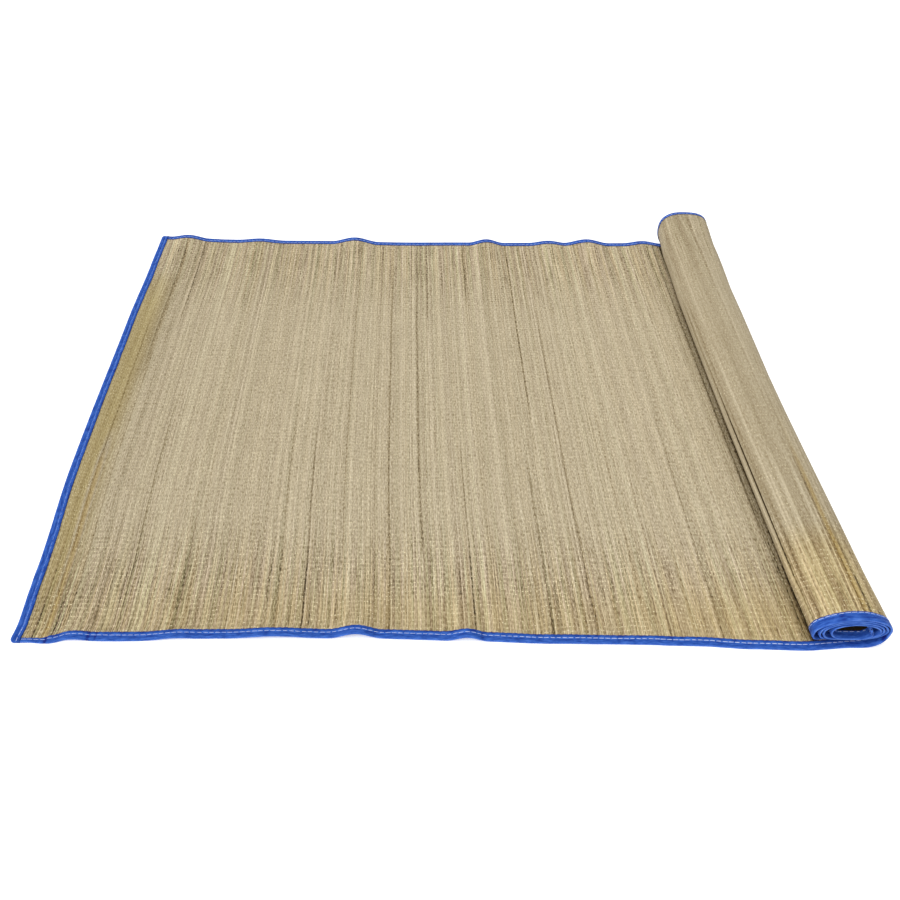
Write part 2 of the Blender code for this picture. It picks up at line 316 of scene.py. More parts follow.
def placed(name, mesh):
    """An object for a mesh, in the scene."""
    obj = bpy.data.objects.new(name, mesh)
    bpy.context.scene.collection.objects.link(obj)
    return obj


straw_points, straw_normals = lay(straw_columns, straw_rows)
from_corner = np.minimum(CORNER_RADIUS, straw_columns)
corner_inset = CORNER_RADIUS - np.sqrt(CORNER_RADIUS**2 - (CORNER_RADIUS - from_corner) ** 2)
straw_points[0, :, 1] += corner_inset
straw_points[-1, :, 1] -= corner_inset
proud = np.zeros(len(straw_columns))
proud[1::2] = rng.uniform(-STRAW_UNEVENNESS, STRAW_UNEVENNESS, STRAW_COUNT)
straw_points += straw_normals * proud[None, :, None]
straw_mesh, straw_row, straw_column = sheet_mesh(
    "straw_sheet", straw_points, np.arange(len(straw_columns)) / 2, straw_rows
)
straw_sheet = placed("straw_sheet", straw_mesh)
fullness = np.empty(len(straw_columns))
fullness[0::2] = rng.uniform(*VALLEY_FULLNESS, STRAW_COUNT + 1)
fullness[1::2] = rng.uniform(*RIDGE_FULLNESS, STRAW_COUNT)
fullness_group = straw_sheet.vertex_groups.new(name="fullness")
levels = np.rint(fullness[straw_column] * FULLNESS_LEVELS).astype(int)
for level in range(FULLNESS_LEVELS + 1):
    members = np.nonzero(levels == level)[0].tolist()
    if members:
        fullness_group.add(members, level / FULLNESS_LEVELS, "REPLACE")
straw_solid = straw_sheet.modifiers.new("straw thickness", "SOLIDIFY")
straw_solid.thickness = STRAW_THICKNESS
straw_solid.offset = 0.0
straw_solid.vertex_group = "fullness"
straw_solid.thickness_vertex_group = 0.0

# Darker and paler bands, along the open part by metres from the open end, and round the roll by
# quarters wound: most are bundles of darker or paler straw woven in, and some are painted shade
# beside the roll and on it. Each keeps to a stretch across the mat.
Streak = namedtuple("Streak", "place half_width amount front back")
OPEN_STREAKS_AND_PAINTED_SHADE = (
    Streak(0.020, 0.0340, -0.10, 0.00, 0.74),
    Streak(0.038, 0.0060, -0.05, 0.00, 0.62),
    Streak(0.046, 0.0200, -0.10, 0.50, 0.80),
    Streak(0.029, 0.0030, -0.14, 0.14, 0.62),
    Streak(0.050, 0.0020, -0.18, 0.05, 0.55),
    Streak(0.064, 0.0020, -0.23, 0.20, 0.66),
    Streak(0.046, 0.0020, 0.14, 0.00, 0.16),
    Streak(0.045, 0.0030, -0.18, 0.55, 0.90),
    Streak(0.025, 0.0140, 0.12, 0.70, 0.90),
    Streak(0.078, 0.0020, -0.36, 0.66, 0.90),
    Streak(0.110, 0.0020, -0.25, 0.00, 0.36),
    Streak(0.177, 0.0020, -0.22, 0.00, 0.15),
    Streak(0.294, 0.0020, -0.20, 0.00, 0.34),
    Streak(0.327, 0.0020, -0.23, 0.00, 0.32),
    Streak(0.371, 0.0020, -0.25, 0.14, 0.90),
    Streak(0.379, 0.0020, 0.16, 0.00, 0.30),
    Streak(0.395, 0.0020, -0.20, 0.74, 0.90),
    Streak(0.431, 0.0025, -0.29, 0.00, 0.76),
    Streak(0.473, 0.0025, -0.36, 0.15, 0.84),
    Streak(0.492, 0.0030, -0.36, 0.66, 0.90),
    Streak(0.526, 0.0020, 0.16, 0.00, 0.30),
    Streak(0.533, 0.0020, -0.20, 0.00, 0.28),
    Streak(0.560, 0.0030, -0.22, 0.74, 0.90),
    Streak(0.585, 0.0020, -0.06, 0.00, 0.14),
    Streak(0.626, 0.0025, -0.26, 0.00, 0.26),
    Streak(0.640, 0.0025, -0.41, 0.40, 0.90),
    Streak(0.677, 0.0020, -0.26, 0.00, 0.62),
    Streak(0.738, 0.0020, -0.25, 0.00, 0.38),
    Streak(0.764, 0.0020, -0.25, 0.00, 0.20),
    Streak(0.826, 0.0020, -0.19, 0.00, 0.34),
    # Painted shade beside the roll, darkest where its left flank overhangs the mat
    Streak(0.908, 0.0120, -0.06, 0.00, 0.90),
    Streak(0.920, 0.0110, -0.15, 0.04, 0.70),
    Streak(0.9195, 0.0025, -0.22, 0.20, 0.90),
    Streak(0.9240, 0.0020, -0.22, 0.00, 0.18),
    Streak(0.9330, 0.0095, -0.50, 0.00, 0.18),
    Streak(0.9310, 0.0080, -0.58, 0.24, 0.42),
    Streak(0.9310, 0.0080, -0.44, 0.48, 0.66),
    Streak(0.9380, 0.0100, -0.45, 0.74, 0.90),
)
ROLL_STREAKS_AND_PAINTED_SHADE = (
    # Painted shade down the roll's right side
    Streak(1.42, 0.060, -0.10, 0.00, 0.90),
    Streak(1.54, 0.040, -0.24, 0.00, 0.12),
    Streak(1.60, 0.060, -0.12, 0.10, 0.45),
    Streak(1.65, 0.050, -0.07, 0.40, 0.90),
    Streak(1.75, 0.035, -0.26, 0.00, 0.10),
    Streak(1.76, 0.050, 0.07, 0.62, 0.90),
    Streak(1.80, 0.040, -0.14, 0.10, 0.22),
    Streak(1.86, 0.035, -0.30, 0.00, 0.10),
    Streak(1.90, 0.035, -0.29, 0.08, 0.24),
    Streak(1.86, 0.050, -0.10, 0.22, 0.40),
    Streak(1.93, 0.030, 0.22, 0.00, 0.12),
    Streak(1.93, 0.050, 0.10, 0.45, 0.90),
    Streak(2.03, 0.040, 0.19, 0.00, 0.20),
    Streak(2.10, 0.040, -0.12, 0.00, 0.20),
    Streak(2.30, 0.060, 0.22, 0.00, 0.22),
    Streak(2.48, 0.030, 0.24, 0.00, 0.22),
    Streak(2.55, 0.050, 0.14, 0.00, 0.45),
    Streak(2.27, 0.040, 0.10, 0.60, 0.90),
    Streak(2.53, 0.040, 0.12, 0.60, 0.90),
    Streak(2.69, 0.050, -0.14, 0.00, 0.24),
    Streak(2.76, 0.060, -0.12, 0.20, 0.62),
    Streak(2.76, 0.040, 0.12, 0.00, 0.12),
    # Painted shade in the crease along the roll's left flank, a paler strip below it, and painted shade
    # where the flank meets the mat
    Streak(2.855, 0.035, -0.38, 0.00, 0.12),
    Streak(2.88, 0.040, -0.41, 0.10, 0.26),
    Streak(2.875, 0.050, -0.46, 0.20, 0.42),
    Streak(2.92, 0.050, -0.24, 0.48, 0.62),
    Streak(2.94, 0.050, 0.22, 0.00, 0.10),
    Streak(3.00, 0.080, 0.22, 0.08, 0.24),
    Streak(3.06, 0.100, 0.17, 0.20, 0.42),
    Streak(3.32, 0.160, -0.55, 0.00, 0.90),
    # The whole roll a little darker, and its inner turns darker
    Streak(2.30, 1.700, -0.14, 0.12, 0.90),
    Streak(2.30, 1.700, -0.08, 0.00, 0.05),
    Streak(6.00, 1.200, -0.10, 0.00, 0.90),
)
# Straw inside the roll lies in the dark: painted shade darkens it, from this many quarters wound on
INNER_SHADE_QUARTER = 4.2
INNER_PAINTED_SHADE = -0.90
# Above 0 a straw is golden, as it is at its ends, and below 0 it is still green
OPEN_WARMTH = (
    Streak(0.48, 0.950, 0.40, 0.00, 0.03),
    Streak(0.90, 0.250, 0.35, 0.00, 0.06),
    Streak(0.018, 0.040, -0.85, 0.02, 0.72),
    Streak(0.030, 0.009, 1.50, 0.00, 0.28),
)
ROLL_WARMTH = (Streak(2.20, 2.400, 0.62, 0.00, 0.09), Streak(1.83, 0.100, 0.80, 0.00, 0.24))
STREAK_FRONT_FADE = 0.04
STREAK_BACK_FADE = 0.07
NOT_OPEN = -1.0
# Golden and green straws differ less than the rest, and those round the roll differ least
GOLDEN_CALM = 0.9
MOST_GOLDEN_CALM = 0.42
GREEN_CALM = 0.4
MOST_GREEN_CALM = 0.35
ROLL_CALM = ((0.04, 0.16), (0.20, 0.50))
ROLL_CALM_QUARTER = 1.0
ROLL_CALM_RISE = 0.2


def streaks_at(streaks, places):
    """The amount that streaks give, for places along the mat in each row of the straw across it."""
    total = np.zeros((len(straw_rows), len(places)))
    for streak in streaks:
        ends = (
            (streak.front - STREAK_FRONT_FADE, 0.0), (streak.front, 1.0),
            (streak.back, 1.0), (streak.back + STREAK_BACK_FADE, 0.0),
        )
        hump = bell(places - streak.place, streak.half_width)
        total += streak.amount * np.outer(eased(ends, straw_rows), hump)
    return total


straw_wound = np.interp(straw_columns, middle_run, middle_wound)
middle_row = straw_points[len(straw_rows) // 2]
open_places = np.where(straw_wound == 0, middle_row[:, 0] - LIES_AT[0], NOT_OPEN)
shade = streaks_at(OPEN_STREAKS_AND_PAINTED_SHADE, open_places) + streaks_at(ROLL_STREAKS_AND_PAINTED_SHADE, straw_wound)
# Painted shade inside the roll
shade += INNER_PAINTED_SHADE * np.clip(straw_wound - INNER_SHADE_QUARTER, 0.0, 1.0)
warmth = streaks_at(OPEN_WARMTH, open_places) + streaks_at(ROLL_WARMTH, straw_wound)
calm = np.clip(GOLDEN_CALM * warmth, 0.0, MOST_GOLDEN_CALM)
calm += np.clip(-GREEN_CALM * warmth, 0.0, MOST_GREEN_CALM)
rise = np.clip(straw_wound - ROLL_CALM_QUARTER, 0.0, ROLL_CALM_RISE) / ROLL_CALM_RISE
calm = np.maximum(calm, np.outer(eased(ROLL_CALM, straw_rows), rise))
for layer_name, values in (("shade", shade), ("warmth", warmth), ("calm", calm)):
    layer = straw_mesh.attributes.new(layer_name, "FLOAT", "POINT")
    layer.data.foreach_set("value", values[straw_row, straw_column].astype(np.float32))


# Dried rush straw, split and sun-bleached: dull, slightly waxy stalks from grey-buff to olive and
# brown, each with its own shade that drifts along it, dark gaps between them, and pale specks
# where the thread crosses over.
THREAD_PITCH = 0.0063
# The thread is drawn coarser than it is, to show at all
THREAD_WIDTH = 0.0014
half_thread = THREAD_WIDTH / THREAD_PITCH / 2

# How fast a pattern changes from straw to straw, and by the metre along a straw
Grain = namedtuple("Grain", "by_straw by_metre detail")
SWAY_GRAIN = Grain(1 / 30, 3.0, 2.0)
SLACK_GRAIN = Grain(1 / 14, 30.0, 2.0)
DRIFT_GRAIN = Grain(3.71, 16.0, 2.0)
BEAD_GRAIN = Grain(1.3, 170.0, 2.0)
FIBRE_GRAIN = Grain(3.0, 60.0, 3.0)
BAND_GRAIN = Grain(1 / 11, 1.6, 3.0)
GAP_GRAIN = Grain(5.3, 22.0, 3.0)

# What a measure's low and high become
Range = namedtuple("Range", "low high low_becomes high_becomes")
ON_THREAD = Range(half_thread * 1.5, half_thread * 0.5, 0.0, 1.0)
CLEAR_OF_THREAD = Range(half_thread * 0.8, half_thread * 2.4, 0.2, 1.0)
CROSSING_SEEN = Range(0.20, 0.90, 0.05, 1.0)
THREAD_SLACK = Range(0.35, 0.60, 0.35, 1.1)
OFF_GAP = Range(0.5, 0.3, 0.0, 1.0)
FRONT_ZONE = Range(0.215, 0.015, 0.0, 1.0)
BACK_ZONE = Range(0.62, 0.86, 0.0, 0.62)
IN_GAP = Range(0.27, 0.47, 0.0, 1.0)
GAP_DEPTH = Range(0.36, 0.72, 0.10, 1.0)
CLEAN_STRAW = Range(0.0, 0.35, 0.0, 1.0)

# How far the thread rows wander, in rows, and how much of a thread shows as it passes under
SWAY = 2.4
SWAY_BY_STRAW = 0.30
UNDER_STRAW = 0.15

# How far each pattern takes the tone from its middle, which is more towards the bound edges
MIDDLE_TONE = 0.55
EDGE_TONE = -0.05
CONTRAST = 0.38
EDGE_CONTRAST = 0.72
OWN_SHARE = 0.42
DRIFT_SHARE = 0.66
FIBRE_SHARE = 0.30
BAND_SHARE = 0.05
BEAD_SHARE = 0.84
EDGE_BEAD_SHARE = 0.36

# How strongly a straw's own tint and the thread show
TINT_SHARE = 0.34
THREAD_SHARE = 0.30
LIVELY_THREAD_SHARE = 0.55


def linear(hex_colour):
    """A linear colour from an sRGB hex value."""
    channels = [int(hex_colour[i:i + 2], 16) / 255 for i in (1, 3, 5)]
    return (*(c / 12.92 if c <= 0.04045 else ((c + 0.055) / 1.055) ** 2.4 for c in channels), 1.0)


def new_material(name):
    """A material with its shader, ready for more nodes."""
    material = bpy.data.materials.new(name)
    material.use_nodes = True
    return material, material.node_tree, material.node_tree.nodes["Principled BSDF"]


def add(kind, *feeds, stops=(), **settings):
    """Adds a node to the material in hand, with its settings, its inputs and any colour stops."""
    node = tree.nodes.new("ShaderNode" + kind)
    for setting, value in settings.items():
        setattr(node, setting, value)
    by_name = feeds and isinstance(feeds[0], dict)
    for socket, value in feeds[0].items() if by_name else enumerate(feeds):
        if isinstance(value, bpy.types.Node):
            value = value.outputs[0]
        if isinstance(value, bpy.types.NodeSocket):
            tree.links.new(value, node.inputs[socket])
        else:
            node.inputs[socket].default_value = value
    for number, (place, colour) in enumerate(stops):
        elements = node.color_ramp.elements
        element = elements[number] if number < len(elements) else elements.new(1.0)
        element.position = place
        element.color = linear(colour)
    return node


def streaked(straws, grain):
    """Noise that is drawn out along the straws, for one way of counting them."""
    beside = add("Math", straws, grain.by_straw, operation="MULTIPLY")
    along = add("Math", across, grain.by_metre, operation="MULTIPLY")
    place = add("CombineXYZ", beside, along)
    feeds = {"Vector": place, "Scale": 1.0, "Detail": grain.detail, "Roughness": 0.5}
    return add("TexNoise", feeds, noise_dimensions="2D")


EASED = {"interpolation_type": "SMOOTHSTEP"}
straw_material, tree, shader = new_material("dried rush straw")
split = add("SeparateXYZ", add("UVMap", uv_map="woven"))
count, across = split.outputs["X"], split.outputs["Y"]
straw = add("Math", count, operation="FLOOR")
beside_middle = add("Math", add("Math", count, operation="FRACT"), 0.5, operation="SUBTRACT")
beside_middle = add("Math", beside_middle, operation="ABSOLUTE")

# The thread rows wander a little, and each row passes over the straws that the last passed under
own = add("TexWhiteNoise", {"W": straw}, noise_dimensions="1D")
own_colour = add("SeparateColor", own.outputs["Color"])
sway = add("Math", streaked(count, SWAY_GRAIN), SWAY, operation="MULTIPLY")
sway = add("Math", own_colour.outputs[1], SWAY_BY_STRAW, sway, operation="MULTIPLY_ADD")
thread_at = add("Math", across, 1 / THREAD_PITCH, sway, operation="MULTIPLY_ADD")
thread_row = add("Math", thread_at, operation="FLOOR")
from_thread = add("Math", add("Math", thread_at, operation="FRACT"), 0.5, operation="SUBTRACT")
from_thread = add("Math", from_thread, operation="ABSOLUTE")
on_thread = add("MapRange", from_thread, *ON_THREAD, **EASED)
weave_side = add("Math", add("Math", straw, thread_row, operation="ADD"), 0.5, operation="MULTIPLY")
weave_side = add("Math", add("Math", weave_side, operation="FRACT"), 0.25, operation="GREATER_THAN")
over = add("Math", weave_side, 1 - UNDER_STRAW, UNDER_STRAW, operation="MULTIPLY_ADD")
crossing = add("TexWhiteNoise", {"Vector": add("CombineXYZ", straw, thread_row)}, noise_dimensions="2D")
seen = add("MapRange", crossing, *CROSSING_SEEN, **EASED)
slack = add("MapRange", streaked(count, SLACK_GRAIN), *THREAD_SLACK, **EASED)
thread = add("Math", add("Math", on_thread, over, operation="MULTIPLY"), seen, operation="MULTIPLY")
thread = add("Math", thread, slack, operation="MULTIPLY")
off_gap = add("MapRange", beside_middle, *OFF_GAP, **EASED)
thread = add("Math", thread, off_gap, operation="MULTIPLY")

# Straws differ most, and stand furthest apart, towards the two bound edges
front_zone = add("MapRange", across, *FRONT_ZONE, **EASED)
back_zone = add("MapRange", across, *BACK_ZONE, **EASED)
edge_zone = add("Math", front_zone, back_zone, operation="MAXIMUM")
warmth_here = add("Attribute", attribute_name="warmth").outputs["Fac"]
lively = add("Math", 1.0, add("Attribute", attribute_name="calm").outputs["Fac"], operation="SUBTRACT")
contrast = add("Math", edge_zone, EDGE_CONTRAST, CONTRAST, operation="MULTIPLY_ADD")
contrast = add("Math", contrast, lively, operation="MULTIPLY")
drift = streaked(straw, DRIFT_GRAIN)
beads = streaked(count, BEAD_GRAIN)
fibre = streaked(count, FIBRE_GRAIN)
band = streaked(count, BAND_GRAIN)
own_tone = add("Math", add("Math", own, 0.5, operation="SUBTRACT"), OWN_SHARE, operation="MULTIPLY")
for pattern, share in ((drift, DRIFT_SHARE), (fibre, FIBRE_SHARE), (band, BAND_SHARE)):
    centred = add("Math", pattern, 0.5, operation="SUBTRACT")
    own_tone = add("Math", centred, share, own_tone, operation="MULTIPLY_ADD")
tone = add("Math", own_tone, contrast, MIDDLE_TONE, operation="MULTIPLY_ADD")
bead_share = add("Math", edge_zone, EDGE_BEAD_SHARE, BEAD_SHARE, operation="MULTIPLY_ADD")
bead_share = add("Math", bead_share, lively, operation="MULTIPLY")
bead_tone = add("Math", add("Math", beads, 0.5, operation="SUBTRACT"), bead_share, operation="MULTIPLY")
tone = add("Math", tone, bead_tone, operation="ADD")
# The shade attribute brings the bands of darker and paler straw, and the painted shade beside, on and inside
# the roll
tone = add("Math", tone, add("Attribute", attribute_name="shade").outputs["Fac"], operation="ADD")
tone = add("Math", edge_zone, EDGE_TONE, tone, operation="MULTIPLY_ADD")
bleached = add("ValToRGB", tone, stops=(
    (0.0, "#30230a"), (0.25, "#887859"), (0.5, "#afa287"), (0.75, "#c9bca0"), (1.0, "#e2d8bf"),
))
fresh = add("ValToRGB", tone, stops=(
    (0.0, "#2a1d08"), (0.25, "#866c3a"), (0.5, "#b09a66"), (0.75, "#d0ba88"), (1.0, "#ebdab2"),
))
green = add("ValToRGB", tone, stops=(
    (0.0, "#2a220a"), (0.25, "#84703f"), (0.5, "#aa9866"), (0.75, "#c4b888"), (1.0, "#e2dab4"),
))
straw_colour = add("Mix", {"Factor": warmth_here, 6: bleached, 7: fresh}, data_type="RGBA")
greenness = add("Math", warmth_here, -1.0, operation="MULTIPLY")
straw_colour = add("Mix", {"Factor": greenness, 6: straw_colour.outputs[2], 7: green}, data_type="RGBA")
tint = add("ValToRGB", own.outputs["Color"], stops=(
    (0.30, "#b3947c"), (0.45, "#b3a37c"), (0.60, "#a3a56c"), (0.72, "#c4a05c"),
))
tint_share = add("Math", contrast, contrast, operation="MULTIPLY")
tint_share = add("Math", tint_share, TINT_SHARE, operation="MULTIPLY")
tinted = add(
    "Mix", {"Factor": tint_share, 6: straw_colour.outputs[2], 7: tint}, data_type="RGBA", blend_type="COLOR"
)
gap = add("MapRange", beside_middle, *IN_GAP, **EASED)
gap_depth = streaked(add("Math", count, operation="ROUND"), GAP_GRAIN)
gap_depth = add("MapRange", gap_depth, *GAP_DEPTH, **EASED)
gap = add("Math", add("Math", gap, gap_depth, operation="MULTIPLY"), contrast, operation="MULTIPLY")
clear_of_thread = add("MapRange", from_thread, *CLEAR_OF_THREAD, **EASED)
gap = add("Math", gap, clear_of_thread, operation="MULTIPLY")
shaded = add("Mix", {"Factor": gap, 6: tinted.outputs[2], 7: linear("#4e3b10")}, data_type="RGBA")
thread_share = add("Math", contrast, LIVELY_THREAD_SHARE, THREAD_SHARE, operation="MULTIPLY_ADD")
thread_share = add("Math", thread, thread_share, operation="MULTIPLY")
thread_share = add("Math", thread_share, add("MapRange", tone, *CLEAN_STRAW), operation="MULTIPLY")
coloured = add("Mix", {"Factor": thread_share, 6: shaded.outputs[2], 7: linear("#efe2ba")}, data_type="RGBA")
tree.links.new(coloured.outputs[2], shader.inputs["Base Color"])
shader.inputs["Roughness"].default_value = 0.62
shader.inputs["Specular IOR Level"].default_value = 0.3
relief = 0.0
for pattern, height in ((thread, 0.5), (fibre, 0.3), (beads, 0.3), (gap, -0.5)):
    relief = add("Math", pattern, height, relief, operation="MULTIPLY_ADD")
bump = add("Bump", {"Height": relief, "Strength": 0.6, "Distance": 0.0005})
tree.links.new(bump.outputs[0], shader.inputs["Normal"])
straw_mesh.materials.append(straw_material)
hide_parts("straw_mat")
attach(straw_sheet, "root")

# The side tapes: woven cotton tape folded in half over each long edge of the straw, machine sewn
# through all layers with one row of white thread. It follows the mat flat and then round the
# roll, puckered a little by the stitches and creased where the mat was bent.
TAPE_THICKNESS = 0.00035
TAPE_MIDDLE = 0.00098
TAPE_LIP = 0.011
FOLD_DEPTH = 0.0007
FOLD_ANGLES = (90, 60, 35, 12, -12, -35, -60, -90)
FOLD_SHARE = 0.14
FOLD_SWELL = 1.03
STITCH_PITCH = 0.0072
TAPE_STEP = 0.0012
SIDE_OVERLAP = 0.0010

# How the tape wavers along its run: by how much, over what length, and where its noise starts
Waver = namedtuple("Waver", "amount length start")
FOLD_WAVER = Waver(0.35, 0.014, 0)
SEAM_WAVER = Waver(0.02, 0.030, 3)
LIP_WAVER = Waver(0.045, 0.021, 5)
PUCKER = Waver(0.00014, 0.009, 11)
NOISE_LEVEL = 0.7
# How far the stitches pull the lip's edge and its bulge to and fro
LIP_SCALLOP = 0.00035
BULGE_HEIGHT = 0.001
BULGE_AT_HOLES = 0.6
# How far a crease draws in the fold and presses down the cloth
CREASED_FOLD = 0.0005
CREASED_HEIGHT = 0.00030

# A lip from its edge to the fold: places between the edge, the stitches and the fold, how far each
# bulges away from the straw, and how freely it wanders
LipPoint = namedtuple("LipPoint", "before past bulge free")
STITCHES_BEFORE = 1.0
LIP_POINTS = (
    LipPoint(0.0, 1.0, 0.00, 1.0),
    LipPoint(0.0, 0.62, 0.07, 0.6),
    LipPoint(0.0, 0.16, 0.02, 0.2),
    LipPoint(STITCHES_BEFORE, 0.0, -0.09, 0.0),
    LipPoint(0.90, 0.0, 0.02, 0.1),
    LipPoint(0.72, 0.0, 0.13, 0.2),
    LipPoint(0.42, 0.0, 0.19, 0.3),
    LipPoint(0.16, 0.0, 0.12, 0.2),
)
STITCH_COLUMN = 3

# Where the front tape is bent in, and how much painted shade darkens its cloth there
Crease = namedtuple("Crease", "along half_width depth stain")
FRONT_CREASES = (
    Crease(0.0290, 0.0030, 0.8, 1.1),
    Crease(0.0775, 0.0032, 0.5, 0.9),
    Crease(0.0860, 0.0022, 0.5, 0.7),
    Crease(0.235, 0.0030, 0.25, 0.3),
    Crease(0.412, 0.0030, 0.30, 0.3),
    Crease(0.540, 0.0030, 0.25, 0.3),
    Crease(0.700, 0.0030, 0.25, 0.3),
    Crease(1.012, 0.0070, 0.25, 0.9),
    Crease(1.098, 0.0060, 0.10, 0.5),
)
# The lip's width, and the place of the stitches in it, as shares by metres along each tape
FRONT_LIP = ((0.0116, 0.42), (0.022, 0.46), (0.034, 0.86), (0.050, 0.95), (0.080, 1.0), (1.80, 1.0))
FRONT_SEAM = ((0.95, 0.60), (1.01, 0.86), (1.80, 0.86))
BACK_LIP = ((0.0116, 0.95), (0.93, 0.95), (1.02, 0.62), (1.80, 0.62))
BACK_SEAM = ((0.0, 0.60), (1.80, 0.60))
END_LIP = ((0.0, 1.0), (0.9, 1.0))
END_SEAM = ((0.0, 0.62), (0.9, 0.62))


def wander(run, waver, seed, side=1):
    """A smooth random line along a run, about 0 and within 1."""
    start = seed + waver.start * side
    return np.array([noise.noise(Vector((place / waver.length, start, NOISE_LEVEL))) for place in run])


def folded_tape(name, edge, inner, lip_table, seam_table, up, seed, creases=(), pinched=None):
    """Tape folded over an edge. Gives its object and the lines that its stitches follow."""
    run = np.concatenate([[0.0], np.cumsum(np.linalg.norm(np.diff(edge, axis=0), axis=1))])
    tangent = np.gradient(edge, axis=0)
    tangent /= np.linalg.norm(tangent, axis=1, keepdims=True)
    inward = inner - edge
    inward /= np.linalg.norm(inward, axis=1, keepdims=True)
    normal = np.cross(tangent, inward) * up
    normal /= np.linalg.norm(normal, axis=1, keepdims=True)
    # Creases draw the fold in and press the cloth down, and painted shade darkens them
    crease, stain = np.zeros(len(run)), np.zeros(len(run))
    for item in creases:
        crease += item.depth * bell(run - item.along, item.half_width)
        stain += item.stain * bell(run - item.along, item.half_width)
    scallop = np.abs(np.sin(np.pi * run / STITCH_PITCH))
    bulge = BULGE_HEIGHT * (BULGE_AT_HOLES + (1 - BULGE_AT_HOLES) * scallop)
    closing = np.ones(len(run)) if pinched is None else pinched[0]
    outer_inset = np.zeros(len(run)) if pinched is None else pinched[1]
    fold_depth = FOLD_DEPTH * (1 + FOLD_WAVER.amount * wander(run, FOLD_WAVER, seed)) - CREASED_FOLD * crease
    seam = eased(seam_table, run) + SEAM_WAVER.amount * wander(run, SEAM_WAVER, seed)
    sides, strips = [], []
    for side in (-1, 1):
        lip = TAPE_LIP * eased(lip_table, run) * (1 + LIP_WAVER.amount * wander(run, LIP_WAVER, seed, side))
        lip = lip + LIP_SCALLOP * scallop
        columns, shares = [], []
        for point in LIP_POINTS:
            share = seam * point.before if point.past == 0 else seam + (1 - seam) * point.past
            height = TAPE_MIDDLE + point.bulge * bulge
            height = height + PUCKER.amount * point.free * (scallop + wander(run, PUCKER, seed, side))
            height = height - CREASED_HEIGHT * crease
            inwards = np.maximum(outer_inset, lip * share)
            columns.append(edge + inward * inwards[:, None] + normal * (side * height * closing)[:, None])
            shares.append(point.before if point.past == 0 else 1 + point.past)
        sides.append(columns)
        strips.append(shares)
    fold = []
    for angle in FOLD_ANGLES[1:-1]:
        over, out = math.sin(math.radians(angle)), math.cos(math.radians(angle))
        height = -TAPE_MIDDLE * FOLD_SWELL * over * closing
        outwards = fold_depth * out - outer_inset
        fold.append(edge - inward * outwards[:, None] + normal * height[:, None])
    columns = [*sides[0], *fold, *reversed(sides[1])]
    fold_strip = [FOLD_SHARE * abs(angle) / 90 for angle in FOLD_ANGLES[1:-1]]
    strip = [*strips[0], *fold_strip, *reversed(strips[1])]
    if up < 0:
        columns.reverse()
        strip.reverse()
    widths = [np.linalg.norm(after - before, axis=1).mean() for before, after in zip(columns, columns[1:])]
    offsets = np.cumsum([0.0, *widths])
    mesh, row, column = sheet_mesh(name, np.array(columns), run, offsets)
    mesh.shade_smooth()
    for layer_name, values in (("strip", np.array(strip)[row]), ("stain", stain[column])):
        layer = mesh.attributes.new(layer_name, "FLOAT", "POINT")
        layer.data.foreach_set("value", values.astype(np.float32))
    tape = placed(name, mesh)
    solid = tape.modifiers.new("tape thickness", "SOLIDIFY")
    solid.thickness = TAPE_THICKNESS
    solid.offset = 0.0
    lines = [(side, columns_of[STITCH_COLUMN]) for side, columns_of in zip((-1, 1), sides)]
    return tape, (run, tangent, inward, normal, lines)


def side_edge(rows):
    """The edge and the strip's far side along the mat, to just under the tapes of the two ends."""
    start, end = STRIP - SIDE_OVERLAP, LENGTH - STRIP + SIDE_OVERLAP
    points, _ = lay(np.linspace(start, end, round((end - start) / TAPE_STEP) + 1), rows)
    return points


front_tape, front_seam = folded_tape(
    "front_tape", *side_edge([0.0, STRIP]), FRONT_LIP, FRONT_SEAM, up=1, seed=21.3, creases=FRONT_CREASES
)
back_tape, back_seam = folded_tape(
    "back_tape", *side_edge([WIDTH, WIDTH - STRIP]), BACK_LIP, BACK_SEAM, up=-1, seed=47.9
)

# The end tapes: the same tape over the open end and over the end inside the roll. Their ends are
# turned in and pressed flat at the corners, over the ends of the side tapes.
CORNER_REACH = 0.0010
CORNER_ROWS = (-1.0, -0.93, -0.75, -0.5, -0.2)
BEND_ROWS = 8
BEND_ROW_STEP = 0.0008
LEAST_CLOSING = 0.02
TAPE_CORNER_RADIUS = 0.0055
OVER_SIDE_TAPE = 0.32
OVER_SIDE_TAPE_RISE = STRIP / 4
OPEN_END_STEP = 0.0015
ROLLED_END_STEP = 0.003


def end_edge(along, step):
    """The edge and the strip's far side across one end, with the corners' closing and inset."""
    bend_end = BEND_ROWS * BEND_ROW_STEP
    first_rows = np.concatenate([np.array(CORNER_ROWS) * CORNER_REACH, np.arange(BEND_ROWS) * BEND_ROW_STEP])
    middle_rows = np.linspace(bend_end, WIDTH - bend_end, round(WIDTH / step))
    rows = np.concatenate([first_rows, middle_rows, WIDTH - first_rows[::-1]])
    points, _ = lay(np.array(along), rows)
    beyond = rows - np.clip(rows, 0.0, WIDTH)
    points[:, :, 1] += beyond[:, None]
    from_side = np.minimum(rows, WIDTH - rows)
    closing = np.sqrt(np.maximum(LEAST_CLOSING, 1 - (beyond / CORNER_REACH) ** 2))
    closing = closing * (1 + OVER_SIDE_TAPE * np.clip((STRIP - from_side) / OVER_SIDE_TAPE_RISE, 0.0, 1.0))
    bend = np.clip(TAPE_CORNER_RADIUS - from_side - CORNER_REACH, 0.0, TAPE_CORNER_RADIUS)
    inset = TAPE_CORNER_RADIUS - np.sqrt(TAPE_CORNER_RADIUS**2 - bend**2)
    return points[:, 0], points[:, 1], closing, inset


